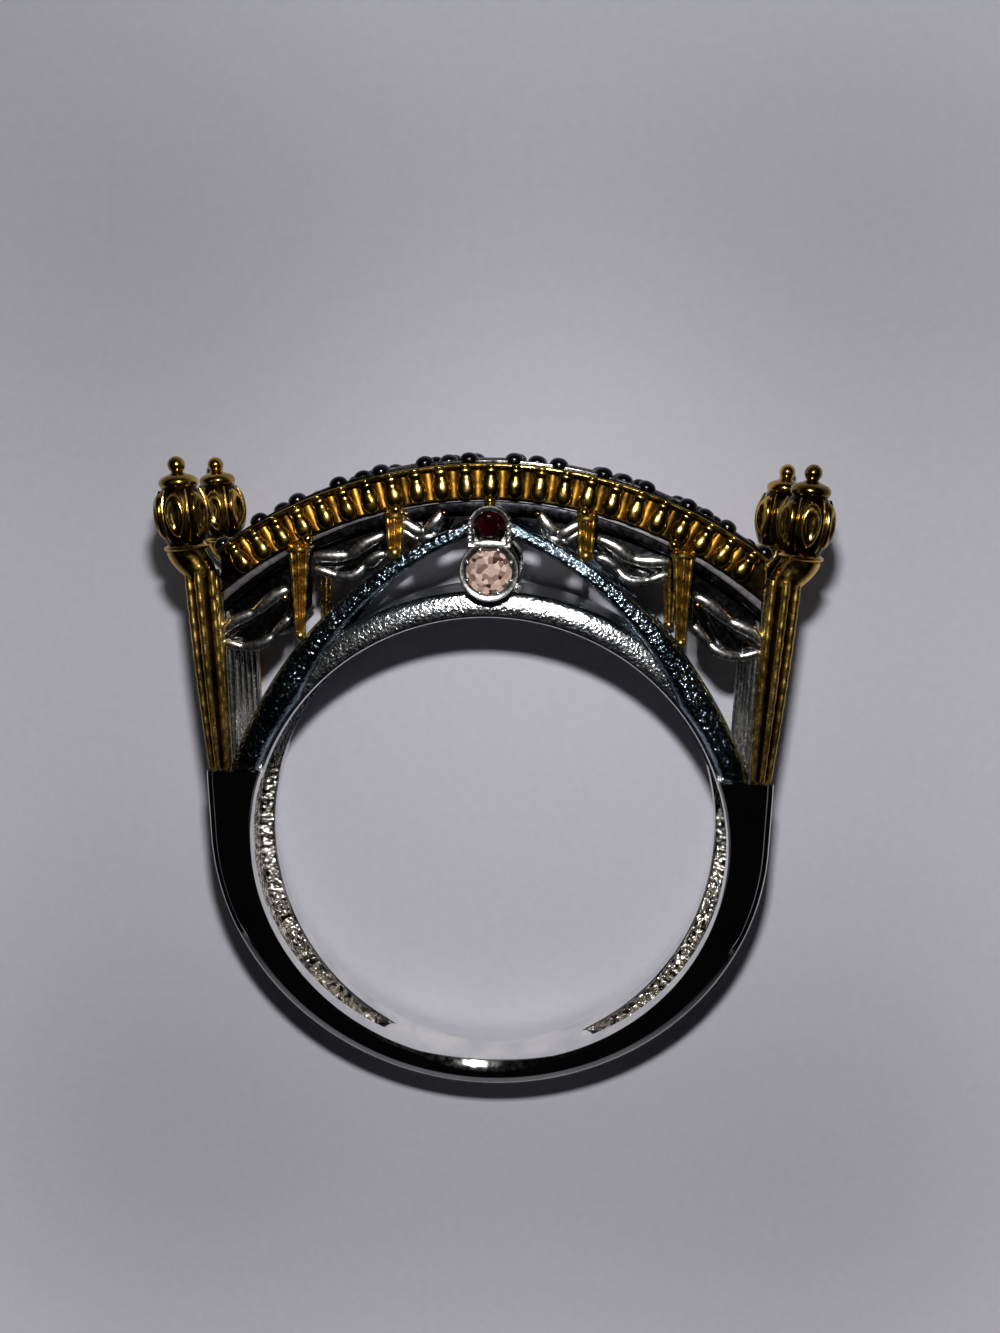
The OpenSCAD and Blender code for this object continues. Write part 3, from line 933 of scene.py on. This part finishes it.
def gallery():
    """The front balustrade with its rail, balusters and knobs."""
    low = RAIL_R - RAIL_T
    rail = rounded([(low, WALL_Z), (RAIL_R, WALL_Z), (RAIL_R, RAIL_Z), (low, RAIL_Z)], 0.06)
    made = deck_bar(rail, BRIDGE_END_X, 120)
    flattened = Matrix.Diagonal((BALUSTER_FLATNESS, 1, 1, 1))
    dash = Matrix.Diagonal((2.6, 0.8, 1, 1))
    plain = baluster()
    bead = Shape().ball(0.075)
    for i in range(-BALUSTERS_A_SIDE, BALUSTERS_A_SIDE + 1):
        angle = i * BALUSTER_STEP
        radial = (sin(radians(angle)), cos(radians(angle)), 0)
        foot = on_deck(angle, FOOT_R + FOOT_T - BALUSTER_IN_FOOT, BALUSTER_Z)
        made.join(plain, upright(foot, radial) @ flattened)
        made.join(bead, deck_axes(angle, RAIL_R - 0.07, RAIL_Z - 0.04) @ dash)
        if i in PILASTERS:
            made.ball(0.2, on_deck(angle, FOOT_R - 0.04, RAIL_Z - 0.2))
    for x, y in ((7.22, 9.25), (1.62, 12.3)):
        for side in (1, -1):
            made.ball(0.16, (side * x, y, 2.1))
    return made


# Lantern posts
def barrel(share):
    """The lantern's radius at a share of its panels' half height, from -1 at their foot to 1 at their top."""
    return 0.915 * sqrt(1 - 0.42 * (share - 0.08) ** 2)


def rib_bar(path, radius):
    """A thin round bar along a path that rises along Z."""
    rings = []
    for x, y, z in path:
        rings.append([(x + radius * cos(a), y + radius * sin(a), z) for a in turns(8)])
    return Shape().loft(rings)


def post_point(place):
    """The point at this (x, y) in the front posts' middle plane."""
    return Vector((*place, POST_Z))


def shaft_line():
    """The line from the foot of the front right shaft to its head."""
    return post_point(POST_HEAD) - post_point(POST_FOOT)


def shaft_place():
    """The matrix that stands a shaft on the front right ledge."""
    return upright(post_point(POST_FOOT), shaft_line())


def shaft_outline():
    """The (radius, height) outline of a post's shaft, which widens upwards."""
    length = shaft_line().length
    outline = [(0.22, 0.0), (0.34, 0.07)]
    for share in shares(14):
        radius = 0.4 + 0.22 * share + 0.05 * sin(pi * share)
        outline.append((radius, 0.14 + (length - 0.52) * share))
    return outline


def reeds(outline, count=6, size=0.24, ripple=0.6):
    """Rippled round bars side by side round an axis, inside a (radius, height) outline."""
    made = Shape()
    rows = smooth_row(outline, 6)
    for across in turns(count):
        rings = []
        for r, height in rows:
            thick = size * (0.95 + 0.06 * sin(tau * height / ripple + 2 * across))
            ring = []
            for a in turns(12):
                x = r * ((1 - size) * cos(across) + thick * cos(a))
                y = r * ((1 - size) * sin(across) + thick * sin(a))
                ring.append((x, y, height))
            rings.append(ring)
        made.loft(rings)
    return made


def lantern_axis():
    """The direction of the front right lantern's axis, which tilts outwards."""
    lean = radians(LANTERN_TILT)
    return Vector((sin(lean), cos(lean), 0))


def lantern_place():
    """The matrix that stands a lantern on the front right post."""
    return upright(post_point(LANTERN_FOOT), lantern_axis())


def post_core():
    """The body behind a lantern's panels and between the reeds of its shaft, painted dark as their shade."""
    made = Shape().lathe(LANTERN_CORE, 36).moved(lantern_place())
    outline = shaft_outline()
    inner = [(0.62 * r, height) for r, height in outline]
    core = [(0, outline[0][1]), *inner, (0, outline[-1][1])]
    return made.join(Shape().lathe(core, 24), shaft_place())


def lantern():
    """A lantern of six oval panels with raised rims, parted by ribs, under a domed cap and a ball."""
    made = Shape()
    for centre in turns(PANELS):
        between = centre + pi / PANELS
        rib = []
        for t in shares(12):
            up = 2 * t - 1
            r = barrel(up) - 0.03
            height = PANEL_MIDDLE + 1.06 * PANEL_HALF_H * up
            rib.append((r * cos(between), r * sin(between), height))
        made.join(rib_bar(rib, 0.05))
        rings = []
        for reach, relief in PANEL_RELIEF:
            ring = []
            for a in turns(32):
                up = reach * cos(a)
                turn = reach * sin(a) * radians(PANEL_HALF_TURN) * (1 + 0.18 * up)
                r = barrel(up) + relief
                height = PANEL_MIDDLE + PANEL_HALF_H * up
                ring.append((r * cos(centre + turn), r * sin(centre + turn), height))
            rings.append(ring)
        made.loft(rings)
    made.lathe(LANTERN_TOP, 36)
    made.lathe(LANTERN_RIM, 36)
    return made.ball(0.3, (0, 0, 3.37))


def post_head():
    """The front right post's lantern and the neck that bends from the shaft into it."""
    rise = shaft_line().normalized()
    axis = lantern_axis()
    start = post_point(POST_HEAD) - rise * 0.6
    end = post_point(LANTERN_FOOT) + axis * 0.46
    reach = (end - start).length
    path = []
    radii = []
    for t in shares(12):
        ease = t * t * (3 - 2 * t)
        path.append((start + rise * reach * t).lerp(end - axis * reach * (1 - t), ease))
        radii.append(0.52 + 0.17 * t ** 1.6)
    return lantern().moved(lantern_place()).tube(path, radii, 32)


def gold_pieces():
    """The balustrades and the corner posts, made for the front right and mirrored to the other places."""
    front = gallery()
    head = post_head()
    shaft = reeds(shaft_outline()).moved(shaft_place())
    columns = column(*TALL_COLUMN).join(column(*SHORT_COLUMN)).both(0)
    core = post_core()
    wall = gallery_wall()
    strips = gallery_strips()
    for face, depth in FACES:
        turned = Matrix.Diagonal((1, 1, depth, 1))
        piece("balustrade_" + face, front.moved(turned), GOLD, ["gallery_" + face], crease=38)
        piece("columns_" + face, columns.moved(turned), TUMBLED_GOLD, crease=38)
        piece("gallery_wall_" + face, wall.moved(turned), GOLD_PAINTED_SHADE, crease=38)
        piece("gallery_strips_" + face, strips.moved(turned), GOLD_PAINTED_LIGHT, crease=38)
        for side, across in (("left", -1), ("right", 1)):
            corner = Matrix.Diagonal((across, 1, depth, 1))
            where = "_".join((face, side))
            piece("post_" + where, head.moved(corner), GOLD, ["lantern_post_" + where], crease=42)
            piece("post_shaft_" + where, shaft.moved(corner), TUMBLED_GOLD, crease=42)
            piece("post_core_" + where, core.moved(corner), GOLD_PAINTED_SHADE, crease=42)


# Stones and their strip
def oblong(angle, width, length, size):
    """A point on a soft oblong outline, with X along its width."""
    c, s = cos(angle), sin(angle)
    power = 2 / 2.5
    x = width / 2 * size * copysign(abs(c) ** power, c)
    z = length / 2 * size * copysign(abs(s) ** power, s)
    return x, z


def cut_stone(width, length, crown, pavilion):
    """A faceted stone with a table, a crown, a girdle and a pointed pavilion, its girdle at height 0."""
    sides = 8
    corners = 2 * sides
    half_step = tau / sides / 2

    def ring(count, turn, size, height):
        made = []
        for i in range(count):
            x, z = oblong(tau * i / count + turn, width, length, size)
            made.append((x, height, z))
        return made

    table = ring(sides, half_step, 0.56, crown)
    star = ring(sides, 0, 0.8, crown * 0.62)
    girdle = ring(corners, 0, 1.0, 0.05)
    under = ring(corners, 0, 1.0, -0.05)
    main = ring(sides, half_step, 0.5, -pavilion * 0.58)
    culet = ring(sides, half_step, 0.04, -pavilion)
    made = Shape()
    made.points = [Vector(p) for p in table + star + girdle + under + main + culet]
    # Number of the first point of the table, star, girdle, under, main and culet rings
    t = 0
    s = t + sides
    g = s + sides
    u = g + corners
    m = u + corners
    c = m + sides
    made.faces.append(tuple(range(t, t + sides)))
    for i in range(sides):
        j = (i + 1) % sides
        made.faces.append((s + j, t + i, t + j))
        made.faces.append((s + i, t + i, s + j, g + 2 * i + 1))
        made.faces.append((s + i, g + 2 * i, g + 2 * i + 1))
        made.faces.append((s + i, g + (2 * i - 1) % corners, g + 2 * i))
        made.faces.append((m + i, u + 2 * i, u + 2 * i + 1))
        made.faces.append((m + i, u + 2 * i + 1, u + (2 * i + 2) % corners))
        made.faces.append((m + i, u + (2 * i + 2) % corners, m + j))
        made.faces.append((m + i, m + j, c + j, c + i))
    for i in range(corners):
        j = (i + 1) % corners
        made.faces.append((g + i, u + i, u + j, g + j))
    made.faces.append(tuple(range(c, c + sides)))
    return made


def seat_cell():
    """One cell of the strip: a plate with an oblong opening, bent to the deck."""
    steps = 48
    half_cell = radians(GARNET_STEP) / 2 * STRIP_R
    top_r = STRIP_R + STRIP_T
    rings = []
    for i in range(steps):
        a = tau * (i + 0.5) / steps
        x, z = oblong(a, GARNET_W, GARNET_L, 0.86)
        reach = max(abs(cos(a)) / half_cell, abs(sin(a)) / FLOOR_HALF)
        edge_x, edge_z = cos(a) / reach, sin(a) / reach
        inside = [(x, z, top_r), (x * 0.97, z * 0.97, STRIP_R)]
        outside = [(edge_x, edge_z, STRIP_R), (edge_x, edge_z, top_r)]
        section = []
        for along, depth, r in inside + outside:
            bend = along / STRIP_R
            section.append((r * sin(bend), r * cos(bend), depth))
        rings.append(section)
    return Shape().loft(rings, round_trip=True)


def prong(x, z):
    """A round claw with a flattened bead for its head, standing on the strip at local height 0."""
    height = BEAD_CREST_R - STRIP_R - BEAD_R * BEAD_SQUASH
    stem = [(0, 0), (BEAD_R * 0.72, 0), (BEAD_R * 0.66, height * 0.6), (BEAD_R * 0.8, height - 0.05),
            (0, height)]
    up = (0, 1, 0)
    made = Shape().lathe(stem, 16).moved(upright((x, 0, z), up))
    return made.join(Shape().ball(BEAD_R, squash=BEAD_SQUASH), upright((x, height, z), up))


def garnet_angle(i):
    """The angle of a garnet from the middle of the deck, in degrees."""
    return (i - (GARNETS - 1) / 2) * GARNET_STEP


def deck_strip():
    """The strip on the deck: a seat and four claws for each garnet, and two claws between each pair."""
    claws = Shape()
    for x in (-0.78, 0.78):
        for z in (-1.85, 1.85):
            claws.join(prong(x, z))
    between = Shape()
    for z in (-1.15, 1.15):
        between.join(prong(0, z))
    made = Shape()
    for i in range(GARNETS):
        angle = garnet_angle(i)
        made.join(seat_cell(), deck_axes(angle, 0))
        made.join(claws, deck_axes(angle, STRIP_R))
        if i < GARNETS - 1:
            made.join(between, deck_axes(angle + GARNET_STEP / 2, STRIP_R))
    return made


def stone_pieces():
    """The garnets on the deck with their strip and edge wires, and the stones in the niches."""
    stone = cut_stone(GARNET_W, GARNET_L, TABLE_R - GIRDLE_R, GIRDLE_R - STRIP_R - 0.03)
    for i in range(GARNETS):
        placed = stone.moved(deck_axes(garnet_angle(i), GIRDLE_R))
        number = str(i + 1)
        piece("deck_garnet_" + number, placed, GARNET, ["garnet_" + number], crease=1)
    low = WIRE_R - WIRE_T
    outline = rounded([(low, 1.97), (WIRE_R, 1.97), (WIRE_R, 2.07), (low, 2.07)], 0.04)
    wire = deck_bar(outline, BRIDGE_END_X - 0.1)
    piece("deck_edges", wire.both(2), DARKENED_SILVER_AND_SHADE, crease=40)
    piece("deck_strip", deck_strip(), DARK_SILVER_AND_SHADE, ["claw_strip"], crease=40)
    niches = (("niche_beryl_", BEZEL_Y, BEZEL_R - BEZEL_T, PINK_BERYL, "pink_stone", "niche_pink_stone_"),
              ("niche_red_", NICHE_Y, NICHE_R - NICHE_T, GARNET, "garnet", "niche_garnet_"))
    for face, side in FACES:
        turned = Matrix.Rotation(side * pi / 2, 4, "X")
        for name, y, r, material, slot, stands_for in niches:
            cut = cut_stone(2 * r, 2 * r, 0.32, 0.5)
            at = Matrix.Translation((0, y, side * (NICHE_Z - 0.34))) @ turned
            piece(name + face, cut.moved(at), material, [stands_for + face], crease=1)


# Floor and light
def floor_frame():
    """The floor's matrix: it touches the back lanterns and the back edge of the shoulders."""
    along = (REST_LANTERN - REST_SHOULDER).normalized()
    right = Vector((1, 0, 0))
    return axes_matrix(REST_SHOULDER * MM, right, along, right.cross(along))


def coated_board():
    """Coated board: a pale, cool grey with fine fibres and a soft gloss."""
    material, tree, shader = new_material("coated_board")
    place = node(tree, "ShaderNodeTexCoord").outputs["Object"]
    fibres = node(tree, "ShaderNodeTexNoise", {"Scale": grains(0.35), "Detail": 4.0}, {"Vector": place})
    tone = node(tree, "ShaderNodeMix", {MIX_FIRST: srgb("#c6c5ce"), MIX_SECOND: srgb("#d0cfd8")},
                {MIX_SHARE: fibres.outputs["Fac"]}, data_type="RGBA")
    bump = node(tree, "ShaderNodeBump", {"Strength": 0.4, "Distance": 0.01 * MM},
                {"Height": fibres.outputs["Fac"]})
    tree.links.new(tone.outputs[MIX_COLOUR], shader.inputs["Base Color"])
    tree.links.new(bump.outputs["Normal"], shader.inputs["Normal"])
    shader.inputs["Roughness"].default_value = 0.5
    shader.inputs["Specular IOR Level"].default_value = 0.3
    return material


def make_floor():
    """A wide pale surface, whose faces grow larger away from the object."""
    rings = 24
    steps = 96
    middle = 1
    reach = 2000
    shape = Shape()
    for i in range(rings):
        radius = reach * (i / (rings - 1)) ** 2 + middle
        shape.points += [Vector((radius * cos(a), radius * sin(a), 0)) for a in turns(steps)]
    for i in range(rings - 1):
        for j in range(steps):
            k = (j + 1) % steps
            shape.faces.append((i * steps + j, i * steps + k, (i + 1) * steps + k, (i + 1) * steps + j))
    shape.faces.append(tuple(range(steps)))
    floor = add_object("floor", shape.mesh("floor"))
    floor.data.materials.append(coated_board())
    floor.matrix_world = floor_frame()


def area_light(name, at, aim, width, length, watts, spread=180):
    """A soft light that looks at a point, with places in millimetres and its beam's spread in degrees."""
    data = bpy.data.lights.new(name, "AREA")
    data.shape = "RECTANGLE"
    data.size = width * MM
    data.size_y = length * MM
    data.energy = watts
    data.spread = radians(spread)
    light = add_object(name, data)
    back = (Vector(at) - Vector(aim)).normalized()
    light.location = Vector(at) * MM
    light.rotation_mode = "QUATERNION"
    light.rotation_quaternion = back.to_track_quat("Z", "Y")


def make_room():
    """A dark room with a pale horizon."""
    world = bpy.data.worlds.new("room")
    bpy.context.scene.world = world
    world.use_nodes = True
    tree = world.node_tree
    tree.nodes.clear()
    place = node(tree, "ShaderNodeTexCoord").outputs["Generated"]
    parts = node(tree, "ShaderNodeSeparateXYZ", links={"Vector": place})
    height = node(tree, "ShaderNodeMapRange", {"From Min": 0.04, "From Max": 0.32},
                  {"Value": parts.outputs["Z"]})
    sky = node(tree, "ShaderNodeMix", {MIX_FIRST: srgb("#74757b"), MIX_SECOND: srgb("#050506")},
               {MIX_SHARE: height.outputs["Result"]}, data_type="RGBA")
    back = node(tree, "ShaderNodeBackground", {"Strength": 1.0}, {"Color": sky.outputs[MIX_COLOUR]})
    node(tree, "ShaderNodeOutputWorld", links={"Surface": back.outputs["Background"]})


def make_light():
    """A small light beside the lens and soft strips round the floor's edges."""
    area_light("near_light", (2.3, 23.5, 38), (0, -60, -3), width=3, length=3, watts=0.0195)
    for x in (-30, 30):
        area_light("side_light", (x, 5, 30), (x, 5, -3), width=10, length=70, watts=0.0013, spread=60)
    area_light("top_light", (8, 40, 30), (8, 40, -3), width=60, length=10, watts=0.0021, spread=60)
    area_light("bottom_light", (0, -30, 30), (0, -30, -3), width=60, length=10, watts=0.0013, spread=60)


make_camera()
silver_pieces()
gold_pieces()
stone_pieces()
make_floor()
make_light()
make_room()
bpy.context.scene.view_settings.view_transform = "Standard"
